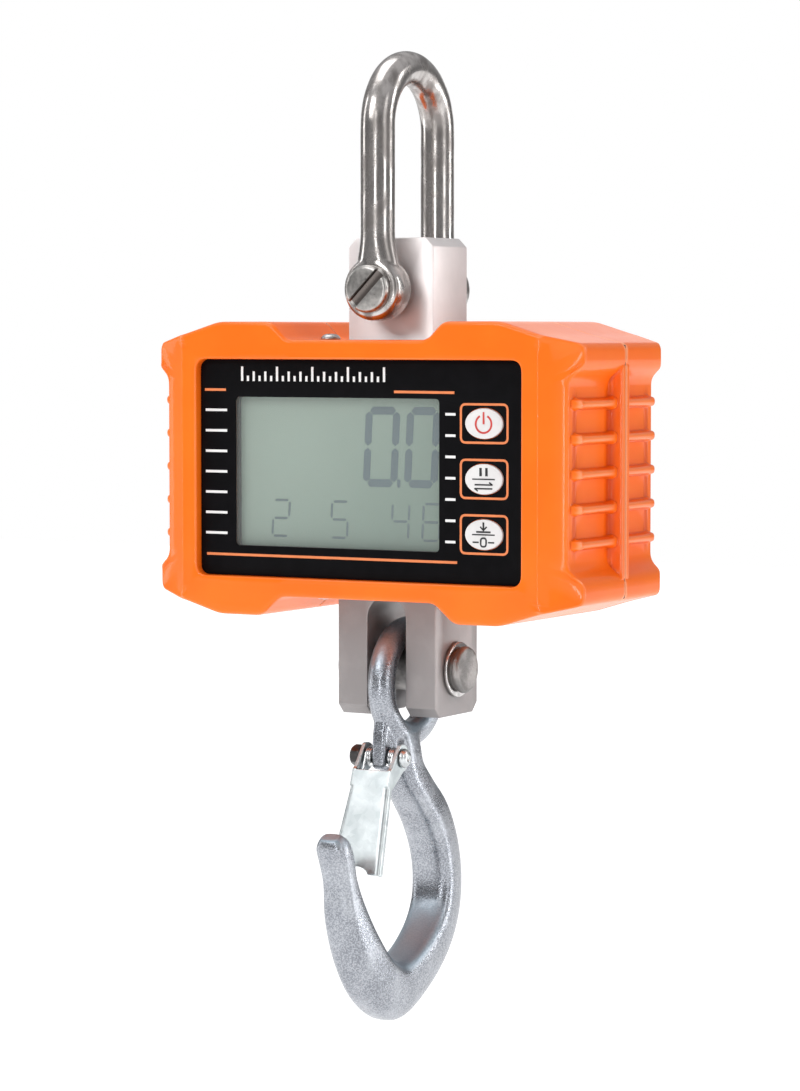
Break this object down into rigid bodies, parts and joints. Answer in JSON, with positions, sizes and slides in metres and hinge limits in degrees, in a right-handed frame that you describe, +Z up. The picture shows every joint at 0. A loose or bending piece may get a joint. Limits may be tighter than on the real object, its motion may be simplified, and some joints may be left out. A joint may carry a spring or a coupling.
{
  "type": "crane scale",
  "caption": "Hanging crane scale with a U shackle, a load cell in an orange two-shell case with display and keys, and a latched eye hook.",
  "frame": {"origin": "middle of the shackle's inner crown, where a crane hook bears", "axes": "+Z up along the load line, +Y towards the back of the case, +X to the right seen from the front"},
  "size_m": [0.18, 0.1002, 0.363],
  "materials": {
    "polished_steel": "polished",
    "nickel_cell": "satin nickel plate",
    "gauge_foil": "satin",
    "lead_jacket": "matte",
    "zinc_plate": "satin zinc plate",
    "screw_steel": "satin",
    "black_rubber": "matte",
    "orange_coat": "gloss orange coat",
    "black_panel": "satin",
    "clear_window": "gloss",
    "lcd_glass": "satin",
    "black_plastic": "matte",
    "white_plastic": "satin",
    "white_key": "satin",
    "green_board": "satin",
    "battery_jacket": "satin",
    "blank_label": "satin",
    "zinc_forging": "rough zinc plate",
    "black_oxide": "satin"
  },
  "bodies": {
    "shackle": {"shackle_bow": "polished_steel", "shackle_pin": "polished_steel"},
    "hook": {"hook": "zinc_forging", "latch_bolt": "zinc_plate", "latch_nut": "black_oxide"},
    "latch": {"latch": "zinc_plate", "latch_spring": "zinc_plate"},
    "power_key": {"power_key": "white_key"},
    "hold_key": {"hold_key": "white_key"},
    "tare_key": {"tare_key": "white_key"},
    "battery_cover": {"battery_cover": "orange_coat", "cover_gasket": "black_rubber", "cover_screws": "screw_steel"},
    "housing": {"load_cell": "nickel_cell", "strain_gauges": "gauge_foil", "gauge_covers": "nickel_cell", "cell_lead": "lead_jacket", "top_bracket": "zinc_plate", "bottom_bracket": "zinc_plate", "cell_screws": "screw_steel", "case_mount_screws": "screw_steel", "top_seal": "black_rubber", "bottom_seal": "black_rubber", "front_shell": "orange_coat", "rear_shell": "orange_coat", "shell_gasket": "black_rubber", "case_screws": "screw_steel", "front_panel": "black_panel", "display_window": "clear_window", "lcd_glass": "lcd_glass", "lcd_bezel": "black_plastic", "backlight": "white_plastic", "main_board": "green_board", "board_screws": "screw_steel", "key_switches": "black_plastic", "processor_chip": "black_plastic", "buzzer": "black_plastic", "battery_holder": "black_plastic", "battery_contacts": "screw_steel", "battery_1": "battery_jacket", "battery_2": "battery_jacket", "battery_3": "battery_jacket", "rating_plate": "blank_label", "hook_pin": "polished_steel", "pin_rings": "polished_steel"}
  },
  "joints": [
    {"name": "housing_swing", "type": "hinge", "parent": "shackle", "child": "housing", "pos_m": [0, 0, -0.076], "axis": [0, 1, 0], "range_deg": [-90, 90]},
    {"name": "hook_swing", "type": "hinge", "parent": "housing", "child": "hook", "pos_m": [0, 0, -0.2179], "axis": [1, 0, 0], "range_deg": [-75, 75]},
    {"name": "latch_swing", "type": "hinge", "parent": "hook", "child": "latch", "pos_m": [0, -0.0186, -0.2502], "axis": [1, 0, 0], "range_deg": [0, 56], "stiffness_Nm_per_rad": 0.04, "springref_deg": -34.38},
    {"name": "power_key_press", "type": "slide", "parent": "housing", "child": "power_key", "axis": [0, 1, 0], "range_m": [0, 0.0005], "stiffness_N_per_m": 1500, "springref_m": -0.0005},
    {"name": "hold_key_press", "type": "slide", "parent": "housing", "child": "hold_key", "axis": [0, 1, 0], "range_m": [0, 0.0005], "stiffness_N_per_m": 1500, "springref_m": -0.0005},
    {"name": "tare_key_press", "type": "slide", "parent": "housing", "child": "tare_key", "axis": [0, 1, 0], "range_m": [0, 0.0005], "stiffness_N_per_m": 1500, "springref_m": -0.0005},
    {"name": "battery_cover_lift", "type": "slide", "parent": "housing", "child": "battery_cover", "axis": [0, 1, 0], "range_m": [0, 0.04]}
  ]
}
